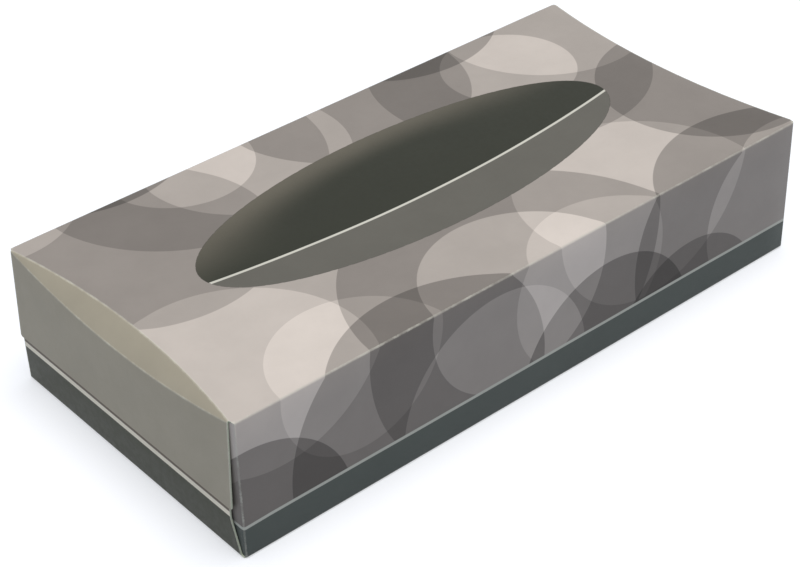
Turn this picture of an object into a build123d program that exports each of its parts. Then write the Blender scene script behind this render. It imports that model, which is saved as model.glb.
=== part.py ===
"""A sealed flat carton of facial tissues: one folded and glued sheet of board around a full stack.

Frame: millimetres, origin at the middle of the base, X along the length, Y across the width, Z up.
The pack is closed and full, so it is one solid whose outside has the true form of the folded board.
The details of one end are made at -X and mirrored to the other.
"""

import os
from math import hypot

from build123d import *

# Carton, measured between its folds
carton_length = 232.0
carton_width = 115.0
carton_height = 50.0
board = 0.45  # thickness of the sheet
fold_radius = 0.8  # outside of every straight fold

# Top outer flap: the outermost sheet of each end, standing a little off it, most at the free edge
top_flap_gap_fold = 0.25  # between the end of the carton and the flap's inner face, at the fold
top_flap_edge_height = 17.5  # free edge above the base
top_flap_inset_fold = 2.2  # cut side edge from the carton's corner on the -Y side, at the fold
top_flap_inset_edge = 2.9  # the same at the free edge
top_flap_back_inset_fold = 1.6  # the same two on the +Y side, as the flap sits nearer to that corner
top_flap_back_inset_edge = 1.0
top_flap_corner_radius = 0.8

# Bottom outer flap: glued under the top one, with side edges that slant away from the corners
bottom_flap_gap_edge = 0.55  # behind the flap, at the height of the top flap's free edge
bottom_flap_reach = 33.0  # hidden free edge above the base
bottom_flap_inset_fold = 1.5  # on the -Y side
bottom_flap_slant_height = 13.0  # where the slanted part of the side edges ends
bottom_flap_inset_slant = 4.6
bottom_flap_back_inset_fold = 0.9  # on the +Y side
bottom_flap_back_inset_slant = 1.6
flap_clearance = 0.1  # between the two flaps where no glue holds them
glue_margin = 6.0  # strip along a flap's edges that the glue leaves free

# Lens-shaped facet pressed between two curved folds at each end of the top
facet_inset = 5.9  # upper curve from the top fold, at the middle
facet_drop = 6.4  # lower curve below the top, at the middle
facet_fold_radius = 0.4

# Oval tear-out lid in the top, marked by cuts through the board with short ties between them
lid_length = 168.0
lid_width = 58.7
lid_centre = (2.0, 3.4)
perforation_pitch = 5.2
perforation_tie = 1.0
perforation_width = 0.15

# Places that follow from the sizes above, at the -X end
end_x = -carton_length / 2
top_fold_x = end_x - top_flap_gap_fold - board
top_edge_x = end_x - bottom_flap_gap_edge - 2 * board - flap_clearance
root_x = end_x + 2 * fold_radius  # a flap's sheet is carried in to here, past the rounded folds
half_width = carton_width / 2


def top_flap_x(height):
    """Outer face of the top flap at a height above the base."""
    share = (carton_height - height) / (carton_height - top_flap_edge_height)
    return top_fold_x + share * (top_edge_x - top_fold_x)


def bottom_flap_x(height):
    """Outer face of the bottom flap where the top flap covers it."""
    return top_flap_x(height) + board + flap_clearance


# Top outer flap, with the strip of the top panel that it folds down from
with BuildPart() as top_flap:
    with BuildSketch(Plane.XZ):
        with BuildLine():
            Polyline(
                (root_x, carton_height),
                (top_fold_x, carton_height),
                (top_edge_x, top_flap_edge_height),
                (top_edge_x + board, top_flap_edge_height),
                (top_flap_x(carton_height - board) + board, carton_height - board),
                (root_x, carton_height - board),
                close=True,
            )
        make_face()
    extrude(amount=half_width, both=True)
    with BuildSketch(Plane.YZ.offset(root_x)):
        with BuildLine():
            Polyline(
                (half_width - top_flap_back_inset_fold, carton_height),
                (half_width - top_flap_back_inset_edge, top_flap_edge_height),
                (top_flap_inset_edge - half_width, top_flap_edge_height),
                (top_flap_inset_fold - half_width, carton_height),
                close=True,
            )
        make_face()
    extrude(amount=top_edge_x - root_x, mode=Mode.INTERSECT)
    fillet(top_flap.edges().filter_by(Axis.X).group_by(Axis.Z)[0], top_flap_corner_radius)

# Bottom outer flap, rounded where it folds up from the base panel
with BuildPart() as bottom_flap:
    with BuildSketch(Plane.XZ) as bottom_section:
        with BuildLine():
            Polyline(
                (root_x, 0),
                (end_x - board, 0),
                (bottom_flap_x(top_flap_edge_height), top_flap_edge_height),
                (bottom_flap_x(bottom_flap_reach), bottom_flap_reach),
                (bottom_flap_x(bottom_flap_reach) + board, bottom_flap_reach),
                (bottom_flap_x(top_flap_edge_height) + board, top_flap_edge_height),
                (end_x, board),
                (root_x, board),
                close=True,
            )
        make_face()
        fillet(bottom_section.vertices().group_by(Axis.Y)[0].sort_by(Axis.X)[0], fold_radius)
    extrude(amount=half_width, both=True)
    with BuildSketch(Plane.YZ.offset(root_x)):
        with BuildLine():
            Polyline(
                (half_width - bottom_flap_back_inset_fold, 0),
                (half_width - bottom_flap_back_inset_slant, bottom_flap_slant_height),
                (half_width - bottom_flap_back_inset_slant, bottom_flap_reach),
                (bottom_flap_inset_slant - half_width, bottom_flap_reach),
                (bottom_flap_inset_slant - half_width, bottom_flap_slant_height),
                (bottom_flap_inset_fold - half_width, 0),
                close=True,
            )
        make_face()
    extrude(amount=top_edge_x - root_x, mode=Mode.INTERSECT)

# Glued area behind the top flap, which leaves a narrow open gap along the flap's cut edges
glue_low = top_flap_edge_height + glue_margin
glue_high = carton_height - board
with BuildPart() as glued_area:
    with BuildSketch(Plane.XZ):
        with BuildLine():
            Polyline(
                (root_x, glue_low),
                (top_flap_x(glue_low) + board / 2, glue_low),
                (top_flap_x(glue_high) + board / 2, glue_high),
                (root_x, glue_high),
                close=True,
            )
        make_face()
    extrude(amount=half_width - top_flap_inset_edge - glue_margin, both=True)

# What the facet takes away: the space outside a curve in the top, carried down along the facet's slope
with BuildPart() as facet_cut:
    with BuildSketch(Plane.XY.offset(carton_height)):
        with BuildLine():
            ThreePointArc(
                (top_fold_x, -half_width),
                (top_fold_x + facet_inset, 0),
                (top_fold_x, half_width),
            )
            Polyline(
                (top_fold_x, half_width),
                (top_fold_x - facet_inset, half_width),
                (top_fold_x - facet_inset, -half_width),
                (top_fold_x, -half_width),
            )
        make_face()
    extrude(amount=2 * hypot(facet_inset, facet_drop), dir=(-facet_inset, 0, -facet_drop))


def tie_places():
    """Places of the ties, evenly spaced along the lid's outline and turned to run with it."""
    outline = Edge.make_ellipse(lid_length / 2, lid_width / 2)
    count = round(outline.length / perforation_pitch)
    for index in range(count):
        point = outline.position_at(index / count)
        angle = Axis.X.direction.get_signed_angle(outline.tangent_at(index / count), Vector(0, 0, 1))
        yield Location((lid_centre[0] + point.X, lid_centre[1] + point.Y), angle)


with BuildPart() as tissue_box:
    Box(carton_length, carton_width, carton_height, align=(Align.CENTER, Align.CENTER, Align.MIN))
    fillet(tissue_box.edges(), fold_radius)
    for detail in (top_flap, bottom_flap, glued_area):
        add(detail.part)
        mirror(detail.part, about=Plane.YZ)
    add(facet_cut.part, mode=Mode.SUBTRACT)
    mirror(facet_cut.part, about=Plane.YZ, mode=Mode.SUBTRACT)
    facets = tissue_box.faces().filter_by(GeomType.EXTRUSION)
    fillet(facets.edges().filter_by(lambda edge: edge.length > half_width), facet_fold_radius)

    # Perforated outline of the lid
    with BuildSketch(Plane.XY.offset(carton_height)):
        with Locations(lid_centre):
            Ellipse((lid_length + perforation_width) / 2, (lid_width + perforation_width) / 2)
            Ellipse(
                (lid_length - perforation_width) / 2,
                (lid_width - perforation_width) / 2,
                mode=Mode.SUBTRACT,
            )
        with Locations(*tie_places()):
            Rectangle(perforation_tie, 8 * perforation_width, mode=Mode.SUBTRACT)
    extrude(amount=-board, mode=Mode.SUBTRACT)

tissue_box.part.label = "tissue_box"
os.makedirs("parts", exist_ok=True)
export_step(tissue_box.part, "parts/tissue_box.step")
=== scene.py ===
"""A sealed flat carton of facial tissues, modelled as the folded sheet of coated board that it is."""

import math

import bmesh
import bpy
from mathutils import Matrix, Vector


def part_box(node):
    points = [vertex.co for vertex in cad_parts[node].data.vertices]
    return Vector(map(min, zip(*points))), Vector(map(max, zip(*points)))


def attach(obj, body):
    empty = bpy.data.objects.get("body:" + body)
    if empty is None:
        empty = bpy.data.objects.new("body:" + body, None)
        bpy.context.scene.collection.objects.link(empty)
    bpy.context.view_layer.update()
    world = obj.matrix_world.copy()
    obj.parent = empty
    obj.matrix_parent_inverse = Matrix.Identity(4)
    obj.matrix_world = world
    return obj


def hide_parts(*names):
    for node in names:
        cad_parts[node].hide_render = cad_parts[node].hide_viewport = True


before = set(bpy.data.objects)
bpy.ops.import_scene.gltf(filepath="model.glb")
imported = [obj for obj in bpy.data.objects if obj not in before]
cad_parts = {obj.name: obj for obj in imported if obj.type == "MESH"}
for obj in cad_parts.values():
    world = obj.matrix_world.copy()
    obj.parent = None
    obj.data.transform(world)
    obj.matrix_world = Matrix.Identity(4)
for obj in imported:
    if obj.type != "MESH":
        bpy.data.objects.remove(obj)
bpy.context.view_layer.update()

MM = 0.001
LOW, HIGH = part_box("tissue_box")

# Carton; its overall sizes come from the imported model. A flap's stand-off is how far its outer face
# lies beyond the carton's end
TOP_FLAP_STAND_OFF = 1.55 * MM  # at its free edge
TOP_FLAP_STAND_OFF_FOLD = 0.70 * MM
LENGTH = HIGH.x - LOW.x - 2 * TOP_FLAP_STAND_OFF
WIDTH = HIGH.y - LOW.y
HEIGHT = HIGH.z - LOW.z
HALF_LENGTH, HALF_WIDTH = LENGTH / 2, WIDTH / 2
BOARD = 0.45 * MM
FOLD_RADIUS = 0.8 * MM
COLUMNS, ROWS, SIDE_ROWS, BASE_ROWS = 12, 24, 5, 11

# Lens-shaped facet: how far its upper fold runs in over the top, and its lower fold down, at the middle
FACET_INSET, FACET_DROP = 5.9 * MM, 6.4 * MM
FACET_FOLD_RADIUS = 0.3 * MM
FACET_SHARP_ANGLE = 20  # degrees; its folds are sharper than this, and the rest of it is flatter
FACET_BELLY = 0.16 * MM  # outward bulge of the lower fold, at the middle

# Top outer flap: height of its free edge, then its two side edges at the fold and at the free edge
TOP_FLAP_EDGE = 17.5 * MM
TOP_FLAP_NEAR, TOP_FLAP_FAR = -HALF_WIDTH + 2.2 * MM, HALF_WIDTH - 1.6 * MM
TOP_FLAP_NEAR_EDGE, TOP_FLAP_FAR_EDGE = -HALF_WIDTH + 2.9 * MM, HALF_WIDTH - 1.0 * MM
TOP_FLAP_CORNER = 0.8 * MM
TOP_FLAP_ROWS = (38 * MM, 30 * MM, 23 * MM)

# Bottom outer flap: its two side edges at the fold and where they stop slanting, then its heights
BOTTOM_FLAP_NEAR, BOTTOM_FLAP_FAR = -HALF_WIDTH + 1.5 * MM, HALF_WIDTH - 0.9 * MM
BOTTOM_FLAP_NEAR_SLANT, BOTTOM_FLAP_FAR_SLANT = -HALF_WIDTH + 4.6 * MM, HALF_WIDTH - 1.6 * MM
BOTTOM_FLAP_SLANT = 13 * MM
BOTTOM_FLAP_REACH = 33 * MM
BOTTOM_FLAP_STAND_OFF_FOLD, BOTTOM_FLAP_STAND_OFF = 0.5 * MM, 1.0 * MM
BOTTOM_FLAP_TUCK = 0.4 * MM  # how far its hidden part leans back in

# Dust flaps: a step behind the outer flaps' edges, then a flap that tapers at its top
DUST_FLAP_STEP, DUST_FLAP_END = HALF_WIDTH - 2.0 * MM, 36 * MM
DUST_FLAP_TOP_GAP, DUST_FLAP_BASE_GAP, DUST_FLAP_TAPER = 0.8 * MM, 0.7 * MM, 7 * MM

# Slack in telling whether a point is on a line or a face
SLACK = 0.02 * MM

# Material slots; board shows on the inside and on every cut edge, past the four printed slots
PRINTED_SLOT, TOP_FLAP_SLOT, BOTTOM_FLAP_SLOT, BASE_SLOT = range(4)
PAST_PRINTED_SLOTS = 8
SMOOTH_ANGLE = 32  # degrees


def linear(red, green, blue):
    """A colour given in 0 to 255 display steps, as the linear values that shaders take."""
    def one(step):
        share = step / 255
        return share / 12.92 if share <= 0.04045 else ((share + 0.055) / 1.055) ** 2.4
    return (one(red), one(green), one(blue), 1.0)


# Inks and board, with painted shade under the top flap's free edge and in the lid's cuts
PRINT_INK = linear(169, 161, 155)
TOP_FLAP_INK = linear(171, 163, 146)
BASE_BOARD = linear(176, 172, 160)
SIDE_BAND, SIDE_LINE = linear(86, 92, 88), linear(188, 189, 180)
# The bottom flap's colour above its light line is painted shade: the shadow that the top flap's free edge
# casts on the strip under it
FLAP_BAND, FLAP_LINE, PAINTED_SHADE_UNDER_TOP_FLAP = linear(70, 72, 60), linear(250, 240, 220), linear(112, 100, 88)
# The lid's cut colour is painted shade in the perforation cuts, which are only dips in the shading, not
# holes in the board
LID_DARK, LID_RIM, LID_CUT_SHADE = linear(46, 48, 40), linear(96, 92, 82), linear(52, 50, 45)
LID_CRESCENT, LID_ARC = linear(97, 95, 89), linear(200, 198, 188)
DARK_FIBRE, PALE_FIBRE = linear(186, 192, 170), linear(214, 219, 198)
WORN_PRINT, WORN_TOP_FLAP = linear(205, 203, 192), linear(212, 209, 194)
WORN_BOTTOM_FLAP, WORN_BASE = linear(214, 214, 196), linear(200, 197, 184)

# Print and lid, in millimetres
LID_X, LID_Y, LID_HALF_LENGTH, LID_HALF_WIDTH = 2.0, 3.4, 84.0, 29.35
LID_CUT_COUNT, LID_CUT_SHARE = 73, 0.8
ARC_BULGE, ARC_Y = 7.2, -6.8
INK_EDGE = 0.12
SIDE_LINE_TOP, SIDE_BAND_TOP = 11.95, 10.85
FLAP_LINE_TOP, FLAP_BAND_TOP = 15.55, 13.7
DARKEST_PRINT, LIGHTEST_PRINT = 0.16, 1.62


# ---------------------------------------------------------------- the folded sheet

def near(first, second):
    return abs(first - second) < SLACK


def choose(piece, kind, rule):
    """Selects the vertices, edges or faces that the rule accepts, and nothing else."""
    bpy.ops.mesh.select_mode(type=kind)
    bpy.ops.mesh.select_all(action="DESELECT")
    mesh = bmesh.from_edit_mesh(piece.data)
    for item in {"VERT": mesh.verts, "EDGE": mesh.edges, "FACE": mesh.faces}[kind]:
        if not item.hide and rule(item):
            item.select_set(True)
    mesh.select_flush_mode()
    bmesh.update_edit_mesh(piece.data)


def choose_edges(piece, rule):
    """Selects the edges whose two ends the rule accepts."""
    choose(piece, "EDGE", lambda edge: all(rule(vert.co) for vert in edge.verts))


def extrude(move=(0, 0, 0)):
    bpy.ops.mesh.extrude_edges_move(TRANSFORM_OT_translate={"value": move})


def stretch(value, centre=(0, 0, 0)):
    bpy.ops.transform.resize(value=value, center_override=centre)


def widen(near_side, far_side, new_near_side, new_far_side):
    """Stretches the selected row across, so that its two ends come to new places."""
    share = (new_far_side - new_near_side) / (far_side - near_side)
    stretch((1, share, 1))
    bpy.ops.transform.translate(value=(0, new_near_side - near_side * share, 0))


def bow_selected_row(piece, move):
    """Bows the selected row of points into a shallow arc whose middle moves by the given step."""
    bpy.ops.mesh.hide(unselected=True)
    choose(piece, "VERT", lambda vert: near(vert.co.y, 0))
    bpy.ops.transform.translate(value=move, use_proportional_edit=True, proportional_size=HALF_WIDTH,
                                proportional_edit_falloff="INVERSE_SQUARE")
    bpy.ops.mesh.reveal(select=False)


def fold_panels(sheet):
    """Top panel, long sides and base of one half of the carton."""
    bpy.ops.mesh.select_all(action="SELECT")
    stretch((HALF_LENGTH, WIDTH, 1), (-HALF_LENGTH / 2, 0, HEIGHT))
    choose_edges(sheet, lambda co: near(abs(co.y), HALF_WIDTH))
    for _ in range(SIDE_ROWS):
        extrude((0, 0, -HEIGHT / SIDE_ROWS))
    choose_edges(sheet, lambda co: near(co.z, 0))
    bpy.ops.mesh.bridge_edge_loops(number_cuts=BASE_ROWS, interpolation="LINEAR")
    for cut in (TOP_FLAP_NEAR, TOP_FLAP_FAR, BOTTOM_FLAP_NEAR, BOTTOM_FLAP_FAR):
        bpy.ops.mesh.select_all(action="SELECT")
        bpy.ops.mesh.bisect(plane_co=(0, cut, 0), plane_no=(0, 1, 0))


def at_end(co):
    return near(co.x, -HALF_LENGTH)


def fold_dust_flaps(sheet):
    def on_line(co, across):
        return at_end(co) and near(abs(co.y), across)

    choose_edges(sheet, lambda co: on_line(co, HALF_WIDTH))
    extrude()
    stretch((1, DUST_FLAP_STEP / HALF_WIDTH, 1))
    for height, gap in ((HEIGHT, -DUST_FLAP_TOP_GAP), (0, DUST_FLAP_BASE_GAP)):
        choose(sheet, "VERT", lambda vert: on_line(vert.co, DUST_FLAP_STEP) and near(vert.co.z, height))
        bpy.ops.transform.translate(value=(0, 0, gap))
    choose_edges(sheet, lambda co: on_line(co, DUST_FLAP_STEP))
    extrude()
    stretch((1, DUST_FLAP_END / DUST_FLAP_STEP, 1))
    near_top = HEIGHT - 2 * MM
    choose(sheet, "VERT", lambda vert: on_line(vert.co, DUST_FLAP_END) and vert.co.z > near_top)
    bpy.ops.transform.translate(value=(0, 0, -DUST_FLAP_TAPER))


def in_top_flap(co):
    return TOP_FLAP_NEAR - SLACK < co.y < TOP_FLAP_FAR + SLACK


def in_bottom_flap(co):
    return BOTTOM_FLAP_NEAR - SLACK < co.y < BOTTOM_FLAP_FAR + SLACK


def fold_top_flap(sheet):
    """The lens-shaped facet between its two curved folds, and the flap that hangs from it."""
    def on_fold(co):
        return at_end(co) and near(co.z, HEIGHT) and in_top_flap(co)

    def on_upper_fold(co):
        return co.x < -HALF_LENGTH + 8 * MM and near(co.z, HEIGHT) and in_top_flap(co)

    choose(sheet, "VERT", lambda vert: on_fold(vert.co))
    bpy.ops.transform.translate(value=(-TOP_FLAP_STAND_OFF_FOLD, 0, 0))
    choose(sheet, "VERT", lambda vert: on_upper_fold(vert.co))
    bow_selected_row(sheet, (FACET_INSET, 0, 0))
    choose_edges(sheet, on_upper_fold)
    extrude()
    bow_selected_row(sheet, (-FACET_INSET - FACET_BELLY, 0, -FACET_DROP))
    flap_x = -HALF_LENGTH - TOP_FLAP_STAND_OFF_FOLD + 0.1 * MM
    choose_edges(sheet, lambda co: co.x < flap_x and in_top_flap(co))
    extrude()
    stretch((1, 1, 0), (0, 0, TOP_FLAP_EDGE))
    stretch((0, 1, 1), (-HALF_LENGTH - TOP_FLAP_STAND_OFF, 0, 0))
    widen(TOP_FLAP_NEAR, TOP_FLAP_FAR, TOP_FLAP_NEAR_EDGE, TOP_FLAP_FAR_EDGE)
    for height in TOP_FLAP_ROWS:
        choose(sheet, "FACE", lambda face: face.calc_center_median().x < flap_x)
        bpy.ops.mesh.bisect(plane_co=(0, 0, height), plane_no=(0, 0, 1))

    def on_corner(co):
        on_side_edge = near(co.y, TOP_FLAP_NEAR_EDGE) or near(co.y, TOP_FLAP_FAR_EDGE)
        return near(co.z, TOP_FLAP_EDGE) and co.x < flap_x and on_side_edge

    choose(sheet, "VERT", lambda vert: on_corner(vert.co))
    bpy.ops.mesh.bevel(affect="VERTICES", offset=TOP_FLAP_CORNER, segments=3)


def on_bottom_fold(co):
    """On the fold of the bottom flap, once it stands off the carton's end."""
    return co.x < -HALF_LENGTH - 0.4 * MM and near(co.z, 0)


def fold_bottom_flap(sheet):
    choose(sheet, "VERT", lambda vert: at_end(vert.co) and near(vert.co.z, 0) and in_bottom_flap(vert.co))
    bpy.ops.transform.translate(value=(-BOTTOM_FLAP_STAND_OFF_FOLD, 0, 0))
    choose_edges(sheet, on_bottom_fold)
    extrude((-BOTTOM_FLAP_STAND_OFF + BOTTOM_FLAP_STAND_OFF_FOLD, 0, BOTTOM_FLAP_SLANT))
    widen(BOTTOM_FLAP_NEAR, BOTTOM_FLAP_FAR, BOTTOM_FLAP_NEAR_SLANT, BOTTOM_FLAP_FAR_SLANT)
    extrude((0, 0, TOP_FLAP_EDGE - BOTTOM_FLAP_SLANT))
    extrude((BOTTOM_FLAP_TUCK, 0, BOTTOM_FLAP_REACH - TOP_FLAP_EDGE))


def round_folds(sheet):
    """Rounds the straight folds, then the facet's two curved ones."""
    def straight_fold(edge):
        pair = [vert.co for vert in edge.verts]
        on_side = all(near(abs(co.y), HALF_WIDTH) for co in pair)
        on_top = all(near(co.z, HEIGHT) for co in pair)
        on_base = all(near(co.z, 0) for co in pair)
        on_end = all(at_end(co) for co in pair)
        return on_side and (on_top or on_base or on_end) or all(on_bottom_fold(co) for co in pair)

    def by_facet(co):
        return co.x < -HALF_LENGTH + 7 * MM and co.z > HEIGHT - 8 * MM and in_top_flap(co)

    def curved_fold(edge):
        if len(edge.link_faces) != 2 or not all(by_facet(vert.co) for vert in edge.verts):
            return False
        return math.degrees(edge.calc_face_angle()) > FACET_SHARP_ANGLE

    for fold, radius in ((straight_fold, FOLD_RADIUS), (curved_fold, FACET_FOLD_RADIUS)):
        choose(sheet, "EDGE", fold)
        bpy.ops.mesh.bevel(affect="EDGES", offset=radius, segments=3, clamp_overlap=True)


def apply_modifier(piece, kind, **settings):
    modifier = piece.modifiers.new(kind.lower(), kind)
    for name, value in settings.items():
        setattr(modifier, name, value)
    bpy.ops.object.modifier_apply(modifier=modifier.name)


def fold_sheet():
    """The whole carton as a sheet without thickness: one end is folded, then mirrored."""
    bpy.ops.object.select_all(action="DESELECT")
    bpy.ops.mesh.primitive_grid_add(x_subdivisions=COLUMNS, y_subdivisions=ROWS, size=1,
                                    location=(-HALF_LENGTH / 2, 0, HEIGHT))
    sheet = bpy.context.object
    sheet.name = sheet.data.name = "carton_sheet"
    bpy.ops.object.transform_apply(location=True, rotation=False, scale=False)
    bpy.ops.object.mode_set(mode="EDIT")
    fold_panels(sheet)
    fold_dust_flaps(sheet)
    fold_top_flap(sheet)
    fold_bottom_flap(sheet)
    round_folds(sheet)
    bpy.ops.object.mode_set(mode="OBJECT")
    apply_modifier(sheet, "MIRROR", use_clip=True, merge_threshold=0.01 * MM)
    bpy.ops.object.mode_set(mode="EDIT")
    bpy.ops.mesh.select_all(action="SELECT")
    bpy.ops.mesh.remove_doubles(threshold=0.005 * MM)
    bpy.ops.mesh.normals_make_consistent(inside=False)
    bpy.ops.object.mode_set(mode="OBJECT")
    return sheet


def bow_panels(sheet):
    """The slight unevenness of board over a soft filling; folds and base stay where they are."""
    panels = sheet.vertex_groups.new(name="panels")
    loose = [v.index for v in sheet.data.vertices
             if v.co.z > 4 * MM and abs(v.co.x) < HALF_LENGTH - 8 * MM
             and (abs(v.co.y) < HALF_WIDTH - 2.5 * MM or v.co.z < HEIGHT - 4 * MM)]
    panels.add(loose, 1.0, "REPLACE")
    wave = bpy.data.textures.new("board_wave", "CLOUDS")
    wave.noise_scale = 0.07
    apply_modifier(sheet, "DISPLACE", texture=wave, texture_coords="LOCAL", strength=-0.5 * MM,
                   mid_level=0.15, vertex_group="panels")


def on_bottom_flap(middle, beyond_end):
    in_sight = beyond_end > 0.05 * MM and middle.z < TOP_FLAP_EDGE
    tucked_behind = 0.4 * MM < beyond_end < 1.02 * MM and middle.z < BOTTOM_FLAP_REACH
    return in_sight or tucked_behind


def on_top_flap(middle, beyond_end):
    """The hanging part of the top flap, and the facet over it."""
    share = 1 - (middle.y / HALF_WIDTH) ** 2
    upper_fold = TOP_FLAP_STAND_OFF_FOLD - FACET_INSET * share
    on_facet = middle.z > HEIGHT - 7 * MM and beyond_end > upper_fold - 0.12 * MM and share > 0.02
    return in_top_flap(middle) and (beyond_end > 0.3 * MM or on_facet)


def give_materials(sheet, materials):
    """Shares the slots out over the outer face, then gives the sheet its thickness."""
    for material in materials:
        sheet.data.materials.append(material)
    for face in sheet.data.polygons:
        middle = face.center
        beyond_end = abs(middle.x) - HALF_LENGTH
        if on_bottom_flap(middle, beyond_end):
            face.material_index = BOTTOM_FLAP_SLOT
        elif on_top_flap(middle, beyond_end):
            face.material_index = TOP_FLAP_SLOT
        elif middle.z < 0.25 * MM:
            face.material_index = BASE_SLOT
        else:
            face.material_index = PRINTED_SLOT
    apply_modifier(sheet, "SOLIDIFY", thickness=BOARD, offset=-1, use_even_offset=True, use_rim=True,
                   material_offset=PAST_PRINTED_SLOTS, material_offset_rim=PAST_PRINTED_SLOTS)
    bpy.ops.object.shade_smooth_by_angle(angle=math.radians(SMOOTH_ANGLE))


# ---------------------------------------------------------------- materials

class Tree:
    """Short calls for the nodes and links of one node tree."""

    def __init__(self, tree):
        self.tree = tree

    def node(self, kind, **settings):
        made = self.tree.nodes.new(kind)
        for name, value in settings.items():
            setattr(made, name, value)
        return made

    def feed(self, socket, value):
        if isinstance(value, bpy.types.NodeSocket):
            self.tree.links.new(value, socket)
        else:
            socket.default_value = value

    def math(self, operation, *values):
        made = self.node("ShaderNodeMath", operation=operation)
        for socket, value in zip(made.inputs, values):
            self.feed(socket, value)
        return made.outputs[0]

    def add(self, *values):
        total = values[0]
        for value in values[1:]:
            total = self.math("ADD", total, value)
        return total

    def times(self, *values):
        product = values[0]
        for value in values[1:]:
            product = self.math("MULTIPLY", product, value)
        return product

    def less(self, first, second):
        return self.math("SUBTRACT", first, second)

    def reach(self, first, second):
        """Length of the slanting side over two square ones."""
        return self.math("SQRT", self.add(self.times(first, first), self.times(second, second)))

    def ramp(self, value, low, high, at_low=0.0, at_high=1.0):
        """A smooth change from at_low to at_high while the value goes from low to high."""
        made = self.node("ShaderNodeMapRange", interpolation_type="SMOOTHSTEP")
        for socket, given in zip(made.inputs, (value, low, high, at_low, at_high)):
            self.feed(socket, given)
        return made.outputs[0]

    def mix(self, share, first, second, blend="MIX"):
        made = self.node("ShaderNodeMix", data_type="RGBA", blend_type=blend)
        self.feed(made.inputs[0], share)
        self.feed(made.inputs[6], first)
        self.feed(made.inputs[7], second)
        return made.outputs[2]

    def noise(self, place, scale, detail=3.0, roughness=0.5):
        made = self.node("ShaderNodeTexNoise")
        self.feed(made.inputs["Vector"], place)
        made.inputs["Scale"].default_value = scale
        made.inputs["Detail"].default_value = detail
        made.inputs["Roughness"].default_value = roughness
        return made.outputs["Fac"]

    def split(self, place):
        parts = self.node("ShaderNodeSeparateXYZ")
        self.feed(parts.inputs[0], place)
        return parts.outputs[0], parts.outputs[1], parts.outputs[2]

    def group(self, tree, **values):
        made = self.node("ShaderNodeGroup", node_tree=tree)
        for name, value in values.items():
            self.feed(made.inputs[name], value)
        return made


def new_group(name, takes, gives):
    tree = bpy.data.node_groups.new(name, "ShaderNodeTree")
    for direction, sockets in (("INPUT", takes), ("OUTPUT", gives)):
        for label, kind in sockets.items():
            tree.interface.new_socket(label, in_out=direction, socket_type="NodeSocket" + kind)
    short = Tree(tree)
    return tree, short, short.node("NodeGroupInput").outputs, short.node("NodeGroupOutput").inputs


def board_grain_group():
    """Fine tooth of coated board as a height, and a faint cloudiness for colour and gloss."""
    group, tree, takes, gives = new_group("board_grain", {"Place": "Vector"},
                                          {"Height": "Float", "Cloud": "Float", "Gloss": "Float"})
    fine = tree.noise(takes["Place"], 2.6, 4, 0.6)
    long_wave = tree.noise(takes["Place"], 0.035, 2, 0.5)
    clouds = tree.noise(takes["Place"], 0.06, 4, 0.6)
    sheen = tree.noise(takes["Place"], 0.5, 4, 0.6)
    tree.feed(gives["Height"], tree.add(fine, tree.times(long_wave, 6.0)))
    tree.feed(gives["Cloud"], tree.ramp(clouds, 0.25, 0.75, 0.965, 1.035))
    tree.feed(gives["Gloss"], tree.ramp(sheen, 0.2, 0.8, -0.06, 0.06))
    return group


def fold_wear_group():
    """Where ink has cracked and rubbed off along the folds: 0 for sound ink, up to 1 for bare board."""
    group, tree, takes, gives = new_group("fold_wear", {"Place": "Vector"}, {"Wear": "Float"})
    x, y, z = tree.split(takes["Place"])
    far_x, far_y = tree.math("ABSOLUTE", x), tree.math("ABSOLUTE", y)
    half_length, half_width, height = HALF_LENGTH / MM, HALF_WIDTH / MM, HEIGHT / MM
    share = tree.less(1.0, tree.math("POWER", tree.math("DIVIDE", far_y, half_width), 2.0))
    stand_off = TOP_FLAP_STAND_OFF_FOLD / MM
    to_side, to_end = tree.less(far_y, half_width), tree.less(far_x, half_length)
    to_top = tree.less(z, height)
    upper = tree.add(to_end, -stand_off, tree.times(share, FACET_INSET / MM))
    lower = tree.add(to_top, tree.times(share, FACET_DROP / MM))
    top_fold, corner_fold = tree.reach(to_side, to_top), tree.reach(to_side, to_end)
    upper_fold = tree.add(tree.reach(upper, to_top), 0.16)
    lower_fold = tree.add(tree.reach(lower, tree.less(to_end, stand_off + 0.15)), 0.16)
    base_fold, flap_fold = tree.reach(to_side, z), tree.reach(tree.less(to_end, 0.4), z)
    nearest = top_fold
    for fold in (corner_fold, upper_fold, lower_fold, base_fold, flap_fold):
        nearest = tree.math("MINIMUM", nearest, fold)
    patchy = tree.noise(takes["Place"], 0.22, 5, 0.65)
    fine = tree.noise(takes["Place"], 1.7, 3, 0.6)
    line = tree.ramp(tree.add(nearest, tree.times(tree.less(fine, 0.5), 0.5)), 0.32, 0.68, 1.0, 0.0)
    amount = tree.ramp(patchy, 0.35, 0.75, 0.25, 0.95)
    to_tip = tree.times(tree.math("MINIMUM", z, tree.less(height, z)), 0.6)
    tips = tree.ramp(tree.add(corner_fold, to_tip, tree.times(fine, 1.2)), 0.9, 2.4, 1.0, 0.0)
    tree.feed(gives["Wear"], tree.math("MAXIMUM", tree.times(line, amount), tips))
    return group


def rubbed_edge_group():
    """Pale, rubbed ink along a flap's cut edges, from the distance to the nearest one in millimetres."""
    group, tree, takes, gives = new_group("rubbed_edge", {"Place": "Vector", "Distance": "Float"},
                                          {"Wear": "Float"})
    uneven = tree.times(tree.less(tree.noise(takes["Place"], 0.9, 3, 0.6), 0.5), 0.5)
    tree.feed(gives["Wear"], tree.ramp(tree.add(takes["Distance"], uneven), 0.12, 0.55, 0.85, 0.0))
    return group


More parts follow.
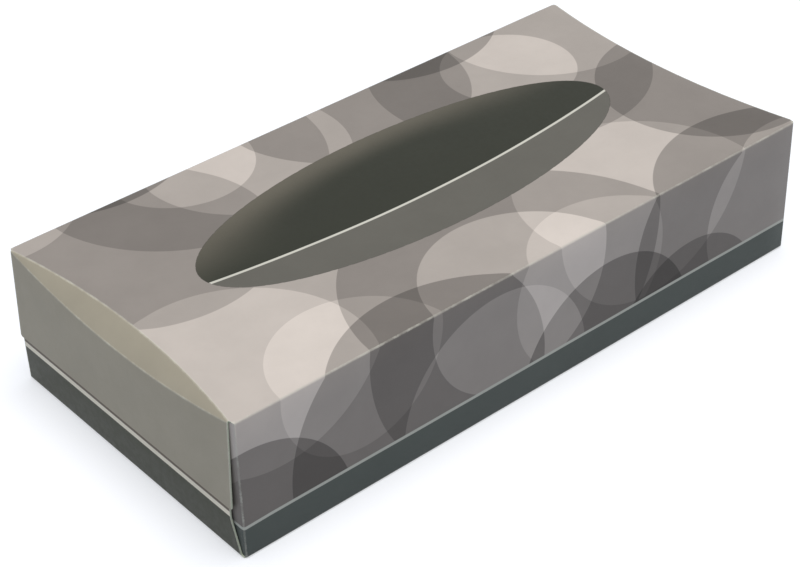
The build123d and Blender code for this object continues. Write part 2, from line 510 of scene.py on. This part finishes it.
def start_material(name):
    """A new material with its shader, the place on the piece in millimetres, grain and wear."""
    material = bpy.data.materials.new(name)
    material.use_nodes = True
    tree = Tree(material.node_tree)
    shader = material.node_tree.nodes["Principled BSDF"]
    shader.inputs["Specular IOR Level"].default_value = 0.1
    scaled = tree.node("ShaderNodeVectorMath", operation="SCALE")
    tree.feed(scaled.inputs[0], tree.node("ShaderNodeTexCoord").outputs["Object"])
    scaled.inputs["Scale"].default_value = 1 / MM
    place = scaled.outputs[0]
    grain = tree.group(GROUPS["grain"], Place=place)
    wear = tree.group(GROUPS["wear"], Place=place).outputs["Wear"]
    return material, tree, shader, place, grain.outputs, wear


def finish_material(tree, shader, colour, grain, wear, worn_colour, gloss, bump=0.12, dips=None):
    """Feeds the shader: ink with its cloudiness, bare board where it is worn, gloss and tooth."""
    clouded = tree.node("ShaderNodeVectorMath", operation="SCALE")
    tree.feed(clouded.inputs[0], colour)
    tree.feed(clouded.inputs["Scale"], grain["Cloud"])
    tree.feed(shader.inputs["Base Color"], tree.mix(wear, clouded.outputs[0], worn_colour))
    rough = tree.add(grain["Gloss"], gloss, tree.times(wear, 0.25))
    tree.feed(shader.inputs["Roughness"], rough)
    height = tree.less(grain["Height"], tree.times(wear, 0.8))
    if dips is not None:
        height = tree.less(height, tree.times(dips, 8.0))
    raised = tree.node("ShaderNodeBump")
    raised.inputs["Strength"].default_value = bump
    raised.inputs["Distance"].default_value = 0.04 * MM
    tree.feed(raised.inputs["Height"], height)
    tree.feed(shader.inputs["Normal"], raised.outputs[0])


# Overlapping see-through shapes of the print, on the sheet laid flat, in millimetres: place along and
# across, outer radius, inner radius (0 for a disc), and what the ink under the shape is multiplied by
SHAPES = (
    (-86, 32, 44, 0, 0.70), (-50, 62, 50, 26, 0.70), (-100, -40, 40, 0, 1.34), (-48, -92, 50, 0, 0.55),
    (-30, 52, 36, 0, 1.42), (-8, -64, 60, 36, 0.62), (18, 62, 46, 0, 0.66), (50, -52, 42, 0, 1.34),
    (72, 34, 50, 24, 0.68), (90, -84, 48, 0, 0.56), (104, 52, 40, 0, 1.38), (30, -110, 38, 0, 0.48),
    (-114, -106, 38, 0, 0.50), (116, -18, 38, 0, 0.62), (-18, -100, 38, 0, 1.55), (60, 92, 44, 0, 0.58),
    (68, -116, 34, 0, 0.56), (-70, -60, 30, 0, 1.30), (108, -84, 32, 0, 1.50), (-72, 98, 44, 0, 0.56),
    (0, 98, 36, 15, 0.56), (-114, 84, 34, 0, 1.42), (98, 100, 34, 0, 0.55), (22, -74, 32, 0, 1.30),
)


def print_colour(tree, place):
    """Grey print that runs on over the long folds."""
    x, y, z = tree.split(place)
    below = tree.math("MAXIMUM", tree.less(HEIGHT / MM - 1.0, z), 0.0)
    across = tree.add(y, tree.times(tree.math("SIGN", y), below))
    flat = tree.node("ShaderNodeCombineXYZ")
    tree.feed(flat.inputs[0], x)
    tree.feed(flat.inputs[1], across)
    strength = 1.0
    for along, over, radius, hollow, tone in SHAPES:
        away = tree.node("ShaderNodeVectorMath", operation="DISTANCE")
        tree.feed(away.inputs[0], flat.outputs[0])
        away.inputs[1].default_value = (along, over, 0)
        distance = away.outputs["Value"]
        inside = tree.ramp(distance, radius - INK_EDGE, radius + INK_EDGE, 1.0, 0.0)
        if hollow:
            inside = tree.times(inside, tree.ramp(distance, hollow - INK_EDGE, hollow + INK_EDGE))
        strength = tree.times(strength, tree.add(1.0, tree.times(inside, tone - 1)))
    strength = tree.math("MINIMUM", tree.math("MAXIMUM", strength, DARKEST_PRINT), LIGHTEST_PRINT)
    ink = tree.node("ShaderNodeVectorMath", operation="SCALE")
    ink.inputs[0].default_value = PRINT_INK[:3]
    tree.feed(ink.inputs["Scale"], strength)
    return ink.outputs[0]


def add_lid(tree, place, colour):
    """The dark oval on the top, its light arc and the paler crescent under it; also its line of cuts,
    darkened with painted shade.
    """
    x, y, z = tree.split(place)
    along = tree.math("DIVIDE", tree.less(x, LID_X), LID_HALF_LENGTH)
    across = tree.math("DIVIDE", tree.less(y, LID_Y), LID_HALF_WIDTH)
    reach = tree.reach(along, across)
    on_top = tree.ramp(z, HEIGHT / MM - 3, HEIGHT / MM - 2)
    inside = tree.times(on_top, tree.ramp(reach, 0.9985, 1.0015, 1.0, 0.0))
    rim = tree.ramp(reach, 0.52, 1.0)
    lean = tree.ramp(tree.add(tree.times(across, 0.95), tree.times(along, -0.25)), 0.0, 0.95)
    dark = tree.mix(tree.times(rim, lean), LID_DARK, LID_RIM)
    over_arc = tree.less(y, tree.add(tree.times(along, along, ARC_BULGE), ARC_Y))
    dark = tree.mix(tree.ramp(over_arc, -0.62, -0.42, 1.0, 0.0), dark, LID_CRESCENT)
    line = tree.times(tree.ramp(over_arc, -0.6, -0.4), tree.ramp(over_arc, 0.4, 0.6, 1.0, 0.0))
    dark = tree.mix(line, dark, LID_ARC)
    turn = tree.math("ARCTAN2", across, along)
    dash = tree.math("FRACT", tree.times(turn, LID_CUT_COUNT / (2 * math.pi)))
    dashes = tree.ramp(dash, LID_CUT_SHARE - 0.02, LID_CUT_SHARE + 0.02, 1.0, 0.0)
    steep_along = tree.math("DIVIDE", along, LID_HALF_LENGTH)
    steep_across = tree.math("DIVIDE", across, LID_HALF_WIDTH)
    away = tree.math("DIVIDE", tree.less(reach, 1.0), tree.reach(steep_along, steep_across))
    cuts = tree.times(on_top, tree.ramp(tree.math("ABSOLUTE", away), 0.05, 0.14, 1.0, 0.0), dashes)
    # The cuts get painted shade at half strength
    return tree.mix(tree.times(cuts, 0.5), tree.mix(inside, colour, dark), LID_CUT_SHADE), cuts


def under(tree, z, height, blur=0.1):
    """1 below the height and 0 above it, with a slightly soft edge."""
    return tree.ramp(z, height - blur, height + blur, 1.0, 0.0)


def printed_board():
    material, tree, shader, place, grain, wear = start_material("printed_board")
    z = tree.split(place)[2]
    colour, cuts = add_lid(tree, place, print_colour(tree, place))
    colour = tree.mix(under(tree, z, SIDE_LINE_TOP), colour, SIDE_LINE)
    colour = tree.mix(under(tree, z, SIDE_BAND_TOP), colour, SIDE_BAND)
    finish_material(tree, shader, colour, grain, tree.times(wear, 0.75), WORN_PRINT, 0.40, dips=cuts)
    return material


def to_side_edges(tree, y, share, near_side, far_side, near_end, far_end):
    """Distances to a flap's two side edges, which slant from one pair of places to the other.

    The share is how far down its slant the point is: 0 at the fold, 1 at the end."""
    to_near = tree.less(y, tree.add(near_side / MM, tree.times(share, (near_end - near_side) / MM)))
    to_far = tree.less(tree.add(far_side / MM, tree.times(share, (far_end - far_side) / MM)), y)
    return to_near, to_far


def rub_edges(tree, place, wear, *distances):
    """Adds the rub along cut edges to the wear of the folds."""
    nearest = distances[0]
    for distance in distances[1:]:
        nearest = tree.math("MINIMUM", nearest, distance)
    rubbed = tree.group(GROUPS["edge"], Place=place, Distance=nearest).outputs["Wear"]
    return tree.math("MAXIMUM", rubbed, tree.times(wear, 0.7))


def plain_flap():
    material, tree, shader, place, grain, wear = start_material("plain_flap")
    _, y, z = tree.split(place)
    drop = tree.math("DIVIDE", tree.less(HEIGHT / MM, z), (HEIGHT - TOP_FLAP_EDGE) / MM)
    side_edges = to_side_edges(tree, y, drop, TOP_FLAP_NEAR, TOP_FLAP_FAR,
                               TOP_FLAP_NEAR_EDGE, TOP_FLAP_FAR_EDGE)
    wear = rub_edges(tree, place, wear, *side_edges)
    finish_material(tree, shader, TOP_FLAP_INK[:3], grain, wear, WORN_TOP_FLAP, 0.42)
    return material


def banded_flap():
    material, tree, shader, place, grain, wear = start_material("banded_flap")
    _, y, z = tree.split(place)
    slant = BOTTOM_FLAP_SLANT / MM
    rise = tree.math("DIVIDE", tree.math("MINIMUM", z, slant), slant)
    side_edges = to_side_edges(tree, y, rise, BOTTOM_FLAP_NEAR, BOTTOM_FLAP_FAR,
                               BOTTOM_FLAP_NEAR_SLANT, BOTTOM_FLAP_FAR_SLANT)
    wear = rub_edges(tree, place, wear, *side_edges)
    # Above the light line, painted shade from the top flap's free edge
    colour = tree.mix(under(tree, z, FLAP_LINE_TOP, 0.15), PAINTED_SHADE_UNDER_TOP_FLAP, FLAP_LINE)
    colour = tree.mix(under(tree, z, FLAP_BAND_TOP), colour, FLAP_BAND)
    finish_material(tree, shader, colour, grain, wear, WORN_BOTTOM_FLAP, 0.40)
    return material


def plain_base():
    material, tree, shader, _, grain, wear = start_material("plain_base")
    finish_material(tree, shader, BASE_BOARD[:3], grain, tree.times(wear, 0.6), WORN_BASE, 0.5)
    return material


def bare_board():
    material, tree, shader, place, grain, wear = start_material("bare_board")
    fibres = tree.ramp(tree.noise(place, 3.5, 5, 0.7), 0.25, 0.75)
    colour = tree.mix(fibres, DARK_FIBRE, PALE_FIBRE)
    finish_material(tree, shader, colour, grain, tree.times(wear, 0.2), WORN_PRINT, 0.75, bump=0.3)
    return material


# ---------------------------------------------------------------- camera, light and floor

CAMERA_PLACE, CAMERA_AIM = Vector((-0.3485, -0.4115, 0.3965)), Vector((-0.0178, -0.0115, 0.025))
CAMERA_ROLL, CAMERA_LENS, CAMERA_SENSOR = -1.84, 90.2, 36  # degrees, then millimetres
LAMP_STRENGTH, LAMP_SPREAD, LAMP_TILT = 2.45, 40, 4  # the last two in degrees
LAMP_COLOUR = (1.0, 0.955, 0.885)
ROOM_STRENGTH, ROOM_COLOUR = 0.36, (0.82, 0.94, 1.09, 1)
FLOOR_SIZE, FLOOR_HEIGHT = 6, -0.1 * MM  # just under the base, so that the two never share a plane
FLOOR_COLOUR, FLOOR_GLOW = (0.53, 0.55, 0.60, 1), 0.5
WHITE = (1, 1, 1, 1)


def add_camera():
    camera = bpy.data.objects.new("camera", bpy.data.cameras.new("camera"))
    bpy.context.scene.collection.objects.link(camera)
    camera.data.sensor_width = CAMERA_SENSOR
    camera.data.lens = CAMERA_LENS
    camera.data.clip_start = 0.01
    turn = (CAMERA_AIM - CAMERA_PLACE).to_track_quat("-Z", "Y").to_matrix().to_4x4()
    roll = Matrix.Rotation(math.radians(CAMERA_ROLL), 4, "Z")
    camera.matrix_world = Matrix.Translation(CAMERA_PLACE) @ turn @ roll
    bpy.context.scene.camera = camera


def white_for_camera(tree, plain, white):
    """White where it is seen directly, in a reflection or through glass, plain for everything else."""
    path = tree.node("ShaderNodeLightPath")
    mix = tree.node("ShaderNodeMixShader")
    seen = path.outputs["Is Camera Ray"]
    for ray in ("Is Glossy Ray", "Is Transmission Ray"):
        seen = tree.math("MAXIMUM", seen, path.outputs[ray])
    tree.feed(mix.inputs[0], seen)
    tree.feed(mix.inputs[1], plain)
    tree.feed(mix.inputs[2], white)
    return mix.outputs[0]


def add_lights():
    lamp = bpy.data.objects.new("overhead_lamp", bpy.data.lights.new("overhead_lamp", "SUN"))
    bpy.context.scene.collection.objects.link(lamp)
    lamp.data.energy = LAMP_STRENGTH
    lamp.data.angle = math.radians(LAMP_SPREAD)
    lamp.data.color = LAMP_COLOUR
    lamp.rotation_euler = (math.radians(LAMP_TILT), math.radians(LAMP_TILT), 0)
    world = bpy.data.worlds.new("studio")
    bpy.context.scene.world = world
    world.use_nodes = True
    world.node_tree.nodes.clear()
    tree = Tree(world.node_tree)
    room = tree.node("ShaderNodeBackground")
    room.inputs["Color"].default_value = ROOM_COLOUR
    room.inputs["Strength"].default_value = ROOM_STRENGTH
    white = tree.node("ShaderNodeBackground")
    white.inputs["Color"].default_value = WHITE
    out = tree.node("ShaderNodeOutputWorld")
    tree.feed(out.inputs["Surface"], white_for_camera(tree, room.outputs[0], white.outputs[0]))


def add_floor():
    bpy.ops.mesh.primitive_plane_add(size=FLOOR_SIZE, location=(0, 0, FLOOR_HEIGHT))
    floor = bpy.context.object
    floor.name = "floor"
    material = bpy.data.materials.new("pale_floor")
    material.use_nodes = True
    material.node_tree.nodes.clear()
    tree = Tree(material.node_tree)
    matt = tree.node("ShaderNodeBsdfDiffuse")
    matt.inputs["Color"].default_value = FLOOR_COLOUR
    glow = tree.node("ShaderNodeEmission")
    glow.inputs["Color"].default_value = WHITE
    glow.inputs["Strength"].default_value = FLOOR_GLOW
    both = tree.node("ShaderNodeAddShader")
    tree.feed(both.inputs[0], matt.outputs[0])
    tree.feed(both.inputs[1], glow.outputs[0])
    out = tree.node("ShaderNodeOutputMaterial")
    tree.feed(out.inputs["Surface"], white_for_camera(tree, matt.outputs[0], both.outputs[0]))
    floor.data.materials.append(material)


# ---------------------------------------------------------------- put together

GROUPS = {"grain": board_grain_group(), "wear": fold_wear_group(), "edge": rubbed_edge_group()}
carton = fold_sheet()
bow_panels(carton)
give_materials(carton, [printed_board(), plain_flap(), banded_flap(), plain_base(), bare_board()])
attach(carton, "root")
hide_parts("tissue_box")
add_floor()
add_lights()
add_camera()
bpy.context.scene.view_settings.view_transform = "Standard"
